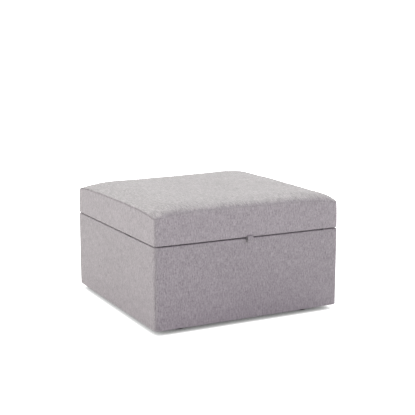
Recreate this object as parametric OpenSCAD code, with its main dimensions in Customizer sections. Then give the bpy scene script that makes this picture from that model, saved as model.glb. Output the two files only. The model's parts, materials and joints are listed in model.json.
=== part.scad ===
// Square upholstered ottoman with a hinged, padded lid over a lined storage box.
// Millimetres. +Z is up, +X is right as seen from the front, and the front faces -Y.
// The origin is on the floor, under the middle of the base.

/* [Base] */
// Outside width of the base, side to side
base_w = 700; // [620:10:900]
// Outside depth of the base, front to back
base_d = 700; // [620:10:900]
// Height of the base, from the underside of its cover to its rim
base_h = 273; // [270:0.5:360]
// Thickness of the side panels
panel_t = 15; // [12:1:18]
// Thickness of the storage floor
floor_t = 9; // [6:1:12]

/* [Lid] */
// How far the lid stands out past the base all round
lid_overhang = 0; // [0:0.5:3]
// Open gap between the rim and the lid
lid_gap = 5; // [5:0.5:8]
// Height of the lid's side band, up to the top seam
band_h = 99.5; // [70:0.5:110]
// Rise of the padded top above the seam
crown_h = 22; // [20:1:60]
// Thickness of the lid's board
board_t = 15; // [12:1:18]
// Angle to which the lid opens
lid_open = 85; // [70:1:88]

/* [Upholstery] */
// Thickness of the outer fabric
cloth_t = 1.5; // [1:0.1:2]
// Thickness of the wadding under the fabric on the sides
wadding_t = 5; // [4:0.5:8]
// Thickness of the wadding over the foam of the lid
top_wadding_t = 10; // [6:1:15]
// Radius of the upright corners
corner_r = 14; // [12:1:25]
// Thickness of the storage lining and of the cloths under the lid and base
lining_t = 1; // [0.8:0.1:1.5]

/* [Feet] */
// Height of a foot
foot_h = 18.5; // [12:0.5:40]
// Radius of a foot at its top
foot_r = 21; // [15:1:25]
// Distance of a foot's centre from the side face
foot_side = 110; // [60:5:140]
// Distance of a foot's centre from the front or back face
foot_inset = 62; // [50:1:70]

/* [Pull tab] */
// Width of the pull tab
tab_w = 21; // [20:1:50]
// Distance of the pull tab from the middle, towards the right
tab_x = -7; // [-100:1:100]

/* [Hinges] */
// Length of a hinge along its pin
hinge_l = 60; // [50:2:90]
// Distance of a hinge's middle from the middle of the lid
hinge_x = 210; // [120:10:240]
// Radius of a hinge knuckle
knuckle_r = 4; // [3.5:0.1:4]
// Radius of a hinge pin
pin_r = 2; // [1.5:0.1:2.2]

/* [Gas springs] */
// Distance of both pivots of a gas spring from the hinge axis
strut_r = 210; // [190:5:220]
// Angle of the lower pivot below the lid's underside
strut_low_angle = 75; // [72:1:76]
// Angle of the upper pivot below the lid's underside
strut_high_angle = 3.5; // [3:0.1:4.5]
// Radius of the cylinder
barrel_r = 9; // [8:0.5:9]
// Radius of the rod
rod_r = 4; // [3:0.5:4]

/* [Hidden] */
$fn = 48;

// Small clearances
fit = 0.2;        // between soft layers that curve
running = 0.06;   // between a pin or rod and its hole
cut = 1;          // how far a cutting shape runs past what it cuts

// Heights, from the floor up
base_z = foot_h - lining_t / 2;
frame_z = base_z + cloth_t;
rim_z = base_z + base_h;
panel_top = rim_z - cloth_t;
rail_h = 20;
floor_z = frame_z + rail_h;
lining_z = floor_z + floor_t;
lid_z = rim_z + lid_gap;
board_z = lid_z + cloth_t;
foam_z = board_z + board_t;
seam_z = lid_z + band_h;

// Plan sizes, as half widths and half depths
base_x = base_w / 2;
base_y = base_d / 2;
lid_x = base_x + lid_overhang;
lid_y = base_y + lid_overhang;
skin = cloth_t + wadding_t;
panel_x = base_x - skin;
panel_y = base_y - skin;
inner_x = panel_x - panel_t;
inner_y = panel_y - panel_t;
board_x = lid_x - skin;
board_y = lid_y - skin;
lining_x = inner_x - cloth_t;
lining_y = inner_y - cloth_t;
edge_r = skin;
rim_w = skin + panel_t + cloth_t;
skirt_h = 35;
lid_flap = 30;
rail_w = 70;

// Screws
screw_r = 2;
screw_head_r = 3.8;
foot_x = base_x - foot_side;
foot_y = base_y - foot_inset;

// Hinge axis, leaves and their screws
hinge_y = lid_y;
hinge_z = rim_z + lid_gap / 2;
leaf_t = 1.5;
leaf_end_y = inner_y;
leaf_screw_y = (panel_y + inner_y) / 2;
leaf_screw_pitch = hinge_l / 3;
knuckle_gap = 0.3;
hinge_screw_l = 14;

// Gas springs. Both pivots are as far from the hinge axis as each other, so
// the spring always turns by half the angle that the lid turns by.
strut_x = base_x - 44;
socket_w = 12;
socket_r = 8;
neck_l = 18;
low_y = hinge_y - strut_r * cos(strut_low_angle);
low_z = hinge_z - strut_r * sin(strut_low_angle);
high_y = hinge_y - strut_r * cos(strut_high_angle);
high_z = hinge_z - strut_r * sin(strut_high_angle);
strut_span = strut_low_angle - strut_high_angle;
closed_l = 2 * strut_r * sin(strut_span / 2);
stroke = 2 * strut_r * sin((strut_span + lid_open) / 2) - closed_l;
strut_lean = atan2(high_z - low_z, low_y - high_y);
barrel_end = closed_l - neck_l - 6;
guide_l = 12;
piston_r = barrel_r - 1.5;
piston_l = 8;
piston_at = neck_l + 6;
bracket_t = 2;
stud_r = 4;

// Colours
grey_cloth = [0.62, 0.59, 0.60];
pale_wadding = [0.93, 0.93, 0.90];
foam_yellow = [0.93, 0.86, 0.62];
plywood = [0.80, 0.66, 0.46];
pine = [0.84, 0.71, 0.50];
black_cloth = [0.13, 0.13, 0.14];
dark_lining = [0.30, 0.29, 0.31];
black_plastic = [0.07, 0.07, 0.07];
zinc = [0.70, 0.70, 0.72];
steel = [0.78, 0.79, 0.80];
black_paint = [0.10, 0.10, 0.11];
rubber = [0.20, 0.20, 0.20];

// ---- Outlines and lofts ----

corner_steps = 6; // flats in one rounded corner, an even number

// One rounded corner, centred on the diagonal that points along angle
function corner(x, y, r, angle) = [
    for (i = [0 : corner_steps])
        let (a = angle - 45 + 90 * i / corner_steps)
        [sign(cos(angle)) * (x - r) + r * cos(a), sign(sin(angle)) * (y - r) + r * sin(a)]
];

// A rounded rectangle of half sizes x and y, counter-clockwise from the right
function outline(x, y, r) = [for (angle = [45, 135, 225, 315]) each corner(x, y, r, angle)];

// The stretch of a rounded rectangle that faces one way, from diagonal to diagonal.
// turn is 0 for the side that faces +X, 90 for +Y, 180 for -X and 270 for -Y.
function side_outline(x, y, r, turn) =
    let (half = corner_steps / 2,
         before = corner(x, y, r, turn - 45),
         after = corner(x, y, r, turn + 45))
    [for (i = [half : corner_steps]) before[i], for (i = [0 : half]) after[i]];

function lift(points, z) = [for (p = points) [p[0], p[1], z]];

// A solid through rings that all have the same number of points. The first and last
// rings are closed with flat caps.
module loft(rings) {
    n = len(rings[0]);
    last = len(rings) - 1;
    sides = [
        for (k = [0 : last - 1], i = [0 : n - 1])
            let (a = k * n + i, b = k * n + (i + 1) % n)
            each [[a, b + n, b], [a, a + n, b + n]]
    ];
    caps = [[for (i = [0 : n - 1]) i], [for (i = [n - 1 : -1 : 0]) last * n + i]];
    polyhedron(points = [for (ring = rings) each ring], faces = concat(sides, caps), convexity = 6);
}

// A strip of cloth carried along one side, with its two ends mitred at 45 degrees.
// outer and inner are the two faces of the strip, as equally long lists of
// [inset from the side's face, height].
module side_sweep(outer, inner, x, y, turn) {
    m = len(outer);
    n = 2 * m;
    paths = [
        for (p = concat(outer, backwards(inner)))
            lift(side_outline(x - p[0], y - p[0], max(corner_r - p[0], 0.4), turn), p[1])
    ];
    steps = len(paths[0]);
    sides = [
        for (k = [0 : steps - 2], i = [0 : n - 1])
            let (a = i * steps + k, b = (i + 1) % n * steps + k)
            each [[a, b + 1, b], [a, a + 1, b + 1]]
    ];
    ends = [
        for (i = [0 : m - 2])
            let (a = i * steps, b = (i + 1) * steps, c = (n - 2 - i) * steps, d = (n - 1 - i) * steps,
                 k = steps - 1)
            each [[a, b, c], [a, c, d], [a + k, c + k, b + k], [a + k, d + k, c + k]]
    ];
    polyhedron(points = [for (path = paths) each path], faces = concat(sides, ends), convexity = 6);
}

function backwards(list) = [for (i = [len(list) - 1 : -1 : 0]) list[i]];

function arc(cx, cy, r, from, to, steps = 6) =
    [for (i = [0 : steps]) let (a = from + (to - from) * i / steps) [cx + r * cos(a), cy + r * sin(a)]];

// ---- Common pieces ----

module block(x0, x1, y0, y1, z0, z1) {
    translate([x0, y0, z0]) cube([x1 - x0, y1 - y0, z1 - z0]);
}

// A countersunk screw that points along +Z, with the top of its head at z = 0
module screw(length, r = screw_r, head_r = screw_head_r) {
    sink = head_r - r;
    slot_w = r * 0.5;
    difference() {
        union() {
            cylinder(h = sink, r1 = head_r, r2 = r);
            translate([0, 0, sink]) cylinder(h = length - sink - r, r = r);
            translate([0, 0, length - r]) cylinder(h = r, r1 = r, r2 = r * 0.3);
        }
        for (a = [0, 90])
            rotate([0, 0, a])
                translate([-r * 0.9, -slot_w / 2, -cut]) cube([r * 1.8, slot_w, cut + r * 0.7]);
    }
}

// The hole that such a screw fills
module screw_hole(length, r = screw_r, head_r = screw_head_r) {
    sink = head_r - r;
    translate([0, 0, -cut]) cylinder(h = cut + 0.01, r = head_r + running);
    cylinder(h = sink, r1 = head_r + running, r2 = r + running);
    translate([0, 0, sink - 0.01]) cylinder(h = length - sink + running, r = r + running);
}

// ---- Frame of the base ----

module frame_screw_places() {
    for (sx = [-1, 1], sy = [-1, 1], z = [0.15, 0.5, 0.85])
        translate([sx * (panel_x - panel_t / 2), sy * panel_y, frame_z + z * base_h])
            rotate([sy * 90, 0, 0]) children();
}

frame_screw_l = 50;

module frame_screws() {
    color(zinc) frame_screw_places() screw(frame_screw_l, 2.5, 4.5);
}

module frame_screw_holes() {
    frame_screw_places() screw_hole(frame_screw_l, 2.5, 4.5);
}

// Front and back panels run the full width. sy is -1 for the front.
module base_panel_long(sy) {
    color(plywood) difference() {
        block(-panel_x, panel_x, min(sy * panel_y, sy * inner_y), max(sy * panel_y, sy * inner_y),
              frame_z, panel_top);
        frame_screw_holes();
        if (sy > 0) hinge_base_screw_places() screw_hole(hinge_screw_l);
    }
}

// Side panels stand between them. sx is -1 for the left.
module base_panel_side(sx) {
    color(plywood) difference() {
        block(min(sx * panel_x, sx * inner_x), max(sx * panel_x, sx * inner_x), -inner_y, inner_y,
              frame_z, panel_top);
        frame_screw_holes();
        strut_base_screw_places() screw_hole(strut_screw_l);
    }
}

module base_rail(sy) {
    color(pine) difference() {
        block(-inner_x, inner_x, min(sy * inner_y, sy * (inner_y - rail_w)),
              max(sy * inner_y, sy * (inner_y - rail_w)), frame_z, floor_z);
        foot_places() screw_hole(foot_screw_l, foot_screw_r, foot_screw_head_r);
    }
}

module storage_floor() {
    color(plywood) block(-inner_x, inner_x, -inner_y, inner_y, floor_z, lining_z);
}

// ---- Upholstery of the base ----

module base_wadding() {
    low = frame_z + wadding_t - 1;
    high = panel_top - wadding_t + 1;
    outer = cloth_t + fit;
    color(pale_wadding) translate([0, 0, low]) difference() {
        linear_extrude(high - low) polygon(outline(base_x - outer, base_y - outer, corner_r - outer));
        translate([0, 0, -cut]) linear_extrude(high - low + 2 * cut)
            square([2 * panel_x, 2 * panel_y], center = true);
    }
}

// The outer fabric of one side. It turns in under the frame, and over the rim and
// down inside the storage box.
cover_outer = concat(
    [[rim_w, base_z]],
    arc(edge_r, base_z + edge_r, edge_r, 270, 180),
    arc(edge_r, rim_z - edge_r, edge_r, 180, 90),
    [[rim_w, rim_z], [rim_w, rim_z - skirt_h]]
);
cover_inner = concat(
    [[rim_w, frame_z]],
    arc(edge_r, base_z + edge_r, edge_r - cloth_t, 270, 180),
    arc(edge_r, rim_z - edge_r, edge_r - cloth_t, 180, 90),
    [[rim_w - cloth_t, panel_top], [rim_w - cloth_t, rim_z - skirt_h]]
);

module base_cover(turn) {
    color(grey_cloth) difference() {
        side_sweep(cover_outer, cover_inner, base_x, base_y, turn);
        if (turn == 90) hinge_base_screw_places() screw_hole(hinge_screw_l);
    }
}

module storage_lining() {
    top = rim_z - 12;
    color(dark_lining) difference() {
        block(-lining_x, lining_x, -lining_y, lining_y, lining_z, top);
        block(-lining_x + lining_t, lining_x - lining_t, -lining_y + lining_t, lining_y - lining_t,
              lining_z + lining_t, top + cut);
        strut_base_screw_places() screw_hole(strut_screw_l);
    }
}

module dust_cover() {
    color(black_cloth) difference() {
        block(-base_x + rim_w + fit, base_x - rim_w - fit, -base_y + rim_w + fit, base_y - rim_w - fit,
              foot_h, frame_z);
        foot_places() cylinder(h = frame_z, r = foot_screw_r + running);
    }
}

// ---- Feet ----

foot_screw_l = 22;
foot_screw_r = 2.5;
foot_screw_head_r = 5;
foot_recess_r = 7;
foot_recess_h = 12;

// Places the screw's head at the top of the recess in a foot
module foot_places() {
    for (sx = [-1, 1], sy = [-1, 1])
        translate([sx * foot_x, sy * foot_y, foot_recess_h]) children();
}

module foot(sx, sy) {
    rim = 1.5;
    color(black_plastic) difference() {
        translate([sx * foot_x, sy * foot_y, 0]) union() {
            cylinder(h = rim, r1 = foot_r - 4, r2 = foot_r - 4 + rim);
            translate([0, 0, rim]) cylinder(h = foot_h - rim, r1 = foot_r - 4 + rim, r2 = foot_r);
        }
        translate([sx * foot_x, sy * foot_y, -cut]) cylinder(h = cut + foot_recess_h, r = foot_recess_r);
        foot_places() screw_hole(foot_screw_l, foot_screw_r, foot_screw_head_r);
    }
}

module foot_screws() {
    color(zinc) foot_places() screw(foot_screw_l, foot_screw_r, foot_screw_head_r);
}

// ---- Bumpers on the rim ----

module lid_bumpers() {
    bumper_r = 5;
    bumper_gap = 0.4;
    color(rubber) for (sx = [-1, 1])
        translate([sx * (base_x - 60), -base_y + rim_w / 2, rim_z]) {
            cylinder(h = lid_gap - 1, r1 = bumper_r, r2 = bumper_r - 0.5);
            translate([0, 0, lid_gap - 1])
                cylinder(h = 1 - bumper_gap, r1 = bumper_r - 0.5, r2 = bumper_r - 1.5);
        }
}

// ---- Hinges ----

module hinge_screw_row(z) {
    for (sx = [-1, 1], i = [-1 : 1])
        translate([sx * hinge_x + i * leaf_screw_pitch, leaf_screw_y, z]) children();
}

module hinge_base_screw_places() {
    hinge_screw_row(rim_z + leaf_t) mirror([0, 0, 1]) children();
}

module hinge_lid_screw_places() {
    hinge_screw_row(lid_z - leaf_t) children();
}

// The barrel of a hinge between two distances from its middle
module knuckle(from, to) {
    rotate([0, 90, 0]) translate([0, 0, from]) cylinder(h = to - from, r = knuckle_r);
}

module pin_hole() {
    rotate([0, 90, 0]) translate([0, 0, -hinge_l]) cylinder(h = 2 * hinge_l, r = pin_r + running);
}

middle = hinge_l / 6; // half length of the lid leaf's knuckle

module hinge_base_leaf(sx) {
    color(zinc) difference() {
        union() {
            block(sx * hinge_x - hinge_l / 2, sx * hinge_x + hinge_l / 2, leaf_end_y, hinge_y,
                  rim_z, rim_z + leaf_t);
            translate([sx * hinge_x, hinge_y, hinge_z]) {
                knuckle(-hinge_l / 2, -middle);
                knuckle(middle, hinge_l / 2);
            }
        }
        block(sx * hinge_x - middle, sx * hinge_x + middle, hinge_y - knuckle_r - 1, hinge_y + cut,
              rim_z - cut, rim_z + leaf_t + cut);
        translate([sx * hinge_x, hinge_y, hinge_z]) pin_hole();
        hinge_base_screw_places() screw_hole(hinge_screw_l);
    }
}

module hinge_lid_leaf(sx) {
    inner = middle - knuckle_gap;
    color(zinc) difference() {
        union() {
            block(sx * hinge_x - hinge_l / 2, sx * hinge_x + hinge_l / 2, leaf_end_y,
                  hinge_y - knuckle_r - 1, lid_z - leaf_t, lid_z);
            block(sx * hinge_x - inner, sx * hinge_x + inner, leaf_end_y, hinge_y, lid_z - leaf_t, lid_z);
            translate([sx * hinge_x, hinge_y, hinge_z]) knuckle(-inner, inner);
        }
        translate([sx * hinge_x, hinge_y, hinge_z]) pin_hole();
        hinge_lid_screw_places() screw_hole(hinge_screw_l);
    }
}

module hinge_pin(sx) {
    head_t = 1;
    color(steel) translate([sx * hinge_x, hinge_y, hinge_z]) rotate([0, 90, 0]) {
        translate([0, 0, -hinge_l / 2 - 0.2]) cylinder(h = hinge_l + 0.4, r = pin_r);
        for (end = [-1, 1])
            translate([0, 0, end * (hinge_l / 2 + 0.2 + head_t / 2) - head_t / 2])
                cylinder(h = head_t, r = pin_r + 1);
    }
}

module hinge_base_screws() {
    color(zinc) hinge_base_screw_places() screw(hinge_screw_l);
}

module hinge_lid_screws() {
    color(zinc) hinge_lid_screw_places() screw(hinge_screw_l);
}

// ---- Gas springs ----

strut_screw_l = 14;
base_plate_x = lining_x - lining_t;
base_plate_half_y = 12;
base_plate_half_z = 28;
lid_plate_z = lid_z - lining_t;
lid_plate_half_y = 20;
lid_flange_x = strut_x + socket_w / 2 + 4;
lid_plate_inner_x = strut_x - 18;
clip_t = 1.5;
clip_x = strut_x - socket_w / 2 - 0.3;

// Lays a shape that is drawn along +Z from the lower pivot along a closed spring
module along_strut(sx) {
    translate([sx * strut_x, low_y, low_z]) rotate([90 - strut_lean, 0, 0]) children();
}

module across(x, y, z) {
    translate([x, y, z]) rotate([0, 90, 0]) children();
}

module strut_base_screw_places() {
    for (sx = [-1, 1], dz = [-1, 1])
        translate([sx * (base_plate_x - bracket_t), low_y, low_z + dz * (base_plate_half_z - 8)])
            rotate([0, sx * 90, 0]) children();
}

module strut_lid_screw_places() {
    for (sx = [-1, 1], dy = [-1, 1])
        translate([sx * (lid_plate_inner_x + 9), high_y + dy * (lid_plate_half_y - 7), lid_plate_z - bracket_t])
            children();
}

// A stud from x1 inward to x0, with a shoulder down to the socket
module stud(sx, y, z, plate_x) {
    shoulder_x = strut_x + socket_w / 2 + 0.3;
    from = clip_x - clip_t - 1;
    mirror([sx < 0 ? 1 : 0, 0, 0]) {
        across(from, y, z) cylinder(h = plate_x - from, r = stud_r);
        across(shoulder_x, y, z) cylinder(h = plate_x - shoulder_x, r = stud_r + 2);
    }
}

module strut_base_bracket(sx) {
    x0 = base_plate_x - bracket_t;
    color(zinc) difference() {
        union() {
            mirror([sx < 0 ? 1 : 0, 0, 0])
                block(x0, base_plate_x, low_y - base_plate_half_y, low_y + base_plate_half_y,
                      low_z - base_plate_half_z, low_z + base_plate_half_z);
            stud(sx, low_y, low_z, x0 + cut);
        }
        strut_base_screw_places() screw_hole(strut_screw_l);
    }
}

module strut_lid_bracket(sx) {
    drop = lid_plate_z - high_z + 10;
    color(zinc) difference() {
        union() {
            mirror([sx < 0 ? 1 : 0, 0, 0]) {
                block(lid_plate_inner_x, lid_flange_x + bracket_t, high_y - lid_plate_half_y,
                      high_y + lid_plate_half_y, lid_plate_z - bracket_t, lid_plate_z);
                block(lid_flange_x, lid_flange_x + bracket_t, high_y - 11, high_y + 11,
                      lid_plate_z - drop, lid_plate_z);
            }
            stud(sx, high_y, high_z, lid_flange_x + cut);
        }
        strut_lid_screw_places() screw_hole(strut_screw_l);
    }
}

module strut_base_screws() {
    color(zinc) strut_base_screw_places() screw(strut_screw_l);
}

module strut_lid_screws() {
    color(zinc) strut_lid_screw_places() screw(strut_screw_l);
}

// Spring clips that keep the sockets on their studs
module clips(y, z) {
    color(steel) for (sx = [-1, 1])
        mirror([sx < 0 ? 1 : 0, 0, 0]) across(clip_x - clip_t, y, z) difference() {
            cylinder(h = clip_t, r = stud_r + 2);
            translate([0, 0, -cut]) cylinder(h = clip_t + 2 * cut, r = stud_r);
        }
}

// The end fitting of a spring, drawn round its pivot with its neck along +Z
module socket() {
    difference() {
        union() {
            translate([-socket_w / 2, 0, 0]) rotate([0, 90, 0]) cylinder(h = socket_w, r = socket_r);
            cylinder(h = neck_l - 3, r = socket_w / 2 - 0.5);
            translate([0, 0, neck_l - 3]) cylinder(h = 3, r = socket_w / 2);
        }
        translate([-socket_w, 0, 0]) rotate([0, 90, 0]) cylinder(h = 2 * socket_w, r = stud_r + running);
    }
}

module strut_base_socket(sx) {
    color(black_plastic) along_strut(sx) socket();
}

module strut_lid_socket(sx) {
    color(black_plastic) along_strut(sx) translate([0, 0, closed_l]) mirror([0, 0, 1]) socket();
}

module strut_barrel(sx) {
    wall_end = neck_l + 4;
    color(black_paint) along_strut(sx) difference() {
        union() {
            translate([0, 0, neck_l]) cylinder(h = barrel_end - neck_l - 1, r = barrel_r);
            translate([0, 0, barrel_end - 1]) cylinder(h = 1, r1 = barrel_r, r2 = barrel_r - 1);
        }
        translate([0, 0, wall_end]) cylinder(h = barrel_end - guide_l - wall_end, r = piston_r + 0.1);
        translate([0, 0, wall_end]) cylinder(h = closed_l, r = rod_r + running);
    }
}

module strut_rod(sx) {
    color(steel) along_strut(sx) {
        translate([0, 0, piston_at]) cylinder(h = piston_l, r = piston_r);
        translate([0, 0, piston_at]) cylinder(h = closed_l - neck_l - piston_at, r = rod_r);
    }
}

// ---- Lid ----

// Insets of the rings of the crown, as shares of the lid's half width
crown_steps = [0, 0.002, 0.006, 0.014, 0.03, 0.055, 0.09, 0.14, 0.22, 0.34, 0.52, 0.76];
crown_round = 110; // largest corner radius of a ring
crown_fullness = 14; // a higher power makes the middle flatter
crown_turn = 0.8; // a lower power makes the top rise more steeply from the seam

// The rings of a crowned top of half sizes x and y, that rises by h above the seam.
// It turns over softly at the seam and is nearly flat in the middle.
function crown(x, y, r, h) = [
    for (s = crown_steps)
        let (d = s * x)
        lift(outline(x - d, y - d, min(r + min(4 * d, crown_round), 0.97 * (min(x, y) - d))),
             seam_z + h * pow(1 - pow(1 - s, crown_fullness), crown_turn))
];

foam_x = board_x;
foam_y = board_y;
foam_r = corner_r - skin;
foam_crown = crown_h - cloth_t - top_wadding_t;

module lid_board() {
    color(plywood) difference() {
        translate([0, 0, board_z]) linear_extrude(board_t) polygon(outline(board_x, board_y, foam_r));
        hinge_lid_screw_places() screw_hole(hinge_screw_l);
        strut_lid_screw_places() screw_hole(strut_screw_l);
    }
}

module lid_foam() {
    color(foam_yellow)
        loft(concat([lift(outline(foam_x, foam_y, foam_r), foam_z)],
                    crown(foam_x, foam_y, foam_r, foam_crown)));
}

// A cap over the foam and the edge of the board, thinned where the band turns under
module lid_wadding() {
    gap = cloth_t + fit;
    function hem(inset, z) = lift(outline(board_x + inset, board_y + inset, foam_r + inset), z);
    color(pale_wadding)
        loft(concat(
            backwards(crown(foam_x, foam_y, foam_r, foam_crown)),
            [hem(0, board_z + 0.5), hem(2, board_z + 0.5), hem(wadding_t - 1.2, board_z + 2),
             hem(wadding_t - fit, board_z + wadding_t)],
            crown(lid_x - gap, lid_y - gap, corner_r - gap, crown_h - gap)));
}

module lid_top_cover() {
    color(grey_cloth)
        loft(concat(
            backwards(crown(lid_x - cloth_t, lid_y - cloth_t, corner_r - cloth_t, crown_h - cloth_t)),
            crown(lid_x, lid_y, corner_r, crown_h)));
}

// The band round the lid's side. It turns in under the board.
band_outer = concat([[0, seam_z]], arc(edge_r, lid_z + edge_r, edge_r, 180, 270), [[lid_flap, lid_z]]);
band_inner = concat([[cloth_t, seam_z]], arc(edge_r, lid_z + edge_r, edge_r - cloth_t, 180, 270),
                    [[lid_flap, board_z]]);

module lid_band(turn) {
    color(grey_cloth) difference() {
        side_sweep(backwards(band_outer), backwards(band_inner), lid_x, lid_y, turn);
        if (turn == 90) hinge_lid_screw_places() screw_hole(hinge_screw_l);
    }
}

module lid_underlining() {
    x = inner_x - cloth_t - 1;
    y = inner_y - cloth_t - 1;
    color(black_cloth) difference() {
        block(-x, x, -y, y, lid_z - lining_t, lid_z);
        strut_lid_screw_places() screw_hole(strut_screw_l);
    }
}

// A loop of doubled fabric, held under the lid and hanging in front of the gap
module pull_tab() {
    loop_y = -lid_y - 6.2;
    high = lid_z;
    low = rim_z - 7.5;
    r = 5.3;
    tongue = 24;
    color(grey_cloth)
        translate([tab_x + tab_w / 2, 0, 0]) rotate([90, 0, -90]) linear_extrude(tab_w) {
            difference() {
                union() {
                    for (z = [low, high]) translate([-loop_y, z]) circle(r = r);
                    translate([-loop_y - r, low]) square([2 * r, high - low]);
                    translate([lid_y - tongue, lid_z - 2 * cloth_t]) square([tongue + 3, 2 * cloth_t]);
                }
                for (z = [low, high]) translate([-loop_y, z]) circle(r = r - cloth_t);
                translate([-loop_y - r + cloth_t, low]) square([2 * (r - cloth_t), high - low]);
            }
        }
}

// ---- Which node to draw ----

base_panel_long(-1);  // base_panel_front
base_panel_long(1);  // base_panel_back
base_panel_side(-1);  // base_panel_left
base_panel_side(1);  // base_panel_right
base_rail(-1);  // base_rail_front
base_rail(1);  // base_rail_back
storage_floor();
frame_screws();
base_wadding();
base_cover(270);  // base_cover_front
base_cover(90);  // base_cover_back
base_cover(180);  // base_cover_left
base_cover(0);  // base_cover_right
storage_lining();
dust_cover();
foot(-1, -1);  // foot_front_left
foot(1, -1);  // foot_front_right
foot(-1, 1);  // foot_back_left
foot(1, 1);  // foot_back_right
foot_screws();
lid_bumpers();
hinge_base_leaf(-1);  // hinge_base_leaf_left
hinge_base_leaf(1);  // hinge_base_leaf_right
hinge_pin(-1);  // hinge_pin_left
hinge_pin(1);  // hinge_pin_right
hinge_base_screws();
strut_base_bracket(-1);  // strut_base_bracket_left
strut_base_bracket(1);  // strut_base_bracket_right
strut_base_screws();
clips(low_y, low_z);  // strut_base_clips
lid_board();
lid_foam();
lid_wadding();
lid_top_cover();
lid_band(270);  // lid_band_front
lid_band(90);  // lid_band_back
lid_band(180);  // lid_band_left
lid_band(0);  // lid_band_right
lid_underlining();
pull_tab();
hinge_lid_leaf(-1);  // hinge_lid_leaf_left
hinge_lid_leaf(1);  // hinge_lid_leaf_right
hinge_lid_screws();
strut_lid_bracket(-1);  // strut_lid_bracket_left
strut_lid_bracket(1);  // strut_lid_bracket_right
strut_lid_screws();
clips(high_y, high_z);  // strut_lid_clips
strut_barrel(-1);  // strut_barrel_left
strut_barrel(1);  // strut_barrel_right
strut_base_socket(-1);  // strut_base_socket_left
strut_base_socket(1);  // strut_base_socket_right
strut_rod(-1);  // strut_rod_left
strut_rod(1);  // strut_rod_right
strut_lid_socket(-1);  // strut_lid_socket_left
strut_lid_socket(1);  // strut_lid_socket_right
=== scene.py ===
# Square storage ottoman in grey chenille: a padded lid on gas springs over a lined box.
import json
import math

import bpy
import numpy as np
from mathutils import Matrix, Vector
from mathutils.kdtree import KDTree

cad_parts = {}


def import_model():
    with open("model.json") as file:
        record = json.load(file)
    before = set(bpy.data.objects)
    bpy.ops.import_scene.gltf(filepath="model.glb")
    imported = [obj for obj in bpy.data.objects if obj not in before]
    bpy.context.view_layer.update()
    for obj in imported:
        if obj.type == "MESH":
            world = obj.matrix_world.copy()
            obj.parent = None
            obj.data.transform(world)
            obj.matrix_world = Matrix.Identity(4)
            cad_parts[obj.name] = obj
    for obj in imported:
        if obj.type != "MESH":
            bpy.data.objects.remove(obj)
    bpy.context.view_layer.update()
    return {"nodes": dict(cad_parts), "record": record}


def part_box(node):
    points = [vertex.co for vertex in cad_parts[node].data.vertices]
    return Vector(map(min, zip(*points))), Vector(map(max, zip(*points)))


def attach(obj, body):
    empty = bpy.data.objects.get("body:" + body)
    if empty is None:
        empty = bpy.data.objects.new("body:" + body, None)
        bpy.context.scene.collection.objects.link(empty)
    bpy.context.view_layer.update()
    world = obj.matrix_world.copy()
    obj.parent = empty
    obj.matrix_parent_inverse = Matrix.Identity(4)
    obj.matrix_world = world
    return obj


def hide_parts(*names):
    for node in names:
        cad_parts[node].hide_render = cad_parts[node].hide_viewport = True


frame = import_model()
nodes = frame["nodes"]
scene = bpy.context.scene

MM = 0.001


# ---- Sizes from the CAD model ----

def edges(node):
    low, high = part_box(node)
    return np.array(low), np.array(high)


front_low, front_high = edges("base_cover_front")
band_low, band_high = edges("lid_band_front")
right_high = edges("base_cover_right")[1]
lid_right_high = edges("lid_band_right")[1]

BASE_X, BASE_Y = right_high[0], -front_low[1]
BASE_Z, RIM_Z = front_low[2], front_high[2]
RIM_W = front_high[1] - front_low[1]
LID_X, LID_Y = lid_right_high[0], -band_low[1]
LID_Z, SEAM_Z = band_low[2], band_high[2]
FLAP_W = band_high[1] - band_low[1]
CROWN_H = edges("lid_top_cover")[1][2] - SEAM_Z
GAP_Z = (RIM_Z + LID_Z) / 2
CORNER_R = 14 * MM        # of the upright corners
EDGE_R = 3.0 * MM         # where the cloth turns over an edge
SKIRT_H = 35 * MM         # how far it hangs down inside the rim
GAP_CLOSE = 0.5 * MM      # how far loose fabric stands into the gap from each side
CLOTH_T = 1.1 * MM
SEAM_ALLOWANCE = 3 * MM   # how far the cloth runs on inside a seam
FOLD_STEPS = 6            # that a quarter turn of a fold is made in


# ---- Shapes ----

def make(name, verts, faces, material, thickness=0.0):
    mesh = bpy.data.meshes.new(name)
    mesh.from_pydata([tuple(v) for v in verts], [], [tuple(f) for f in faces])
    mesh.validate()
    mesh.polygons.foreach_set("use_smooth", [True] * len(mesh.polygons))
    ob = bpy.data.objects.new(name, mesh)
    scene.collection.objects.link(ob)
    mesh.materials.append(material)
    if thickness:
        solid = ob.modifiers.new("Thickness", "SOLIDIFY")
        solid.thickness = thickness
        solid.offset = -1
    return ob


def arc(cx, cz, r, start, stop, steps):
    """Points (inset, height) of an arc, with angles in degrees."""
    angles = np.radians(np.linspace(start, stop, steps + 1))
    return [(cx + r * math.cos(a), cz + r * math.sin(a)) for a in angles]


def line(start, stop, spacing):
    """Points from start up to, but not at, stop."""
    start, stop = np.array(start), np.array(stop)
    count = max(1, round(float(np.linalg.norm(stop - start)) / spacing))
    return [tuple(start + (stop - start) * i / count) for i in range(count)]


def rounding(distance, r):
    """How deep a seam's rolled edge of radius r lies at a distance from the seam."""
    left = np.clip(r - distance, 0, r)
    return r - np.sqrt(np.maximum(r * r - left * left, 0))


def spread(half, fine, coarse, growth):
    """Distances from 0 to half, with coarse steps in the middle and fine ones at the end."""
    steps, total = [], 0.0
    step = fine
    while total < half:
        steps.append(step)
        total += step
        step = min(step * growth, coarse)
    steps = np.array(steps[::-1]) * (half / total)
    return np.concatenate([[0], np.cumsum(steps)])


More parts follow.
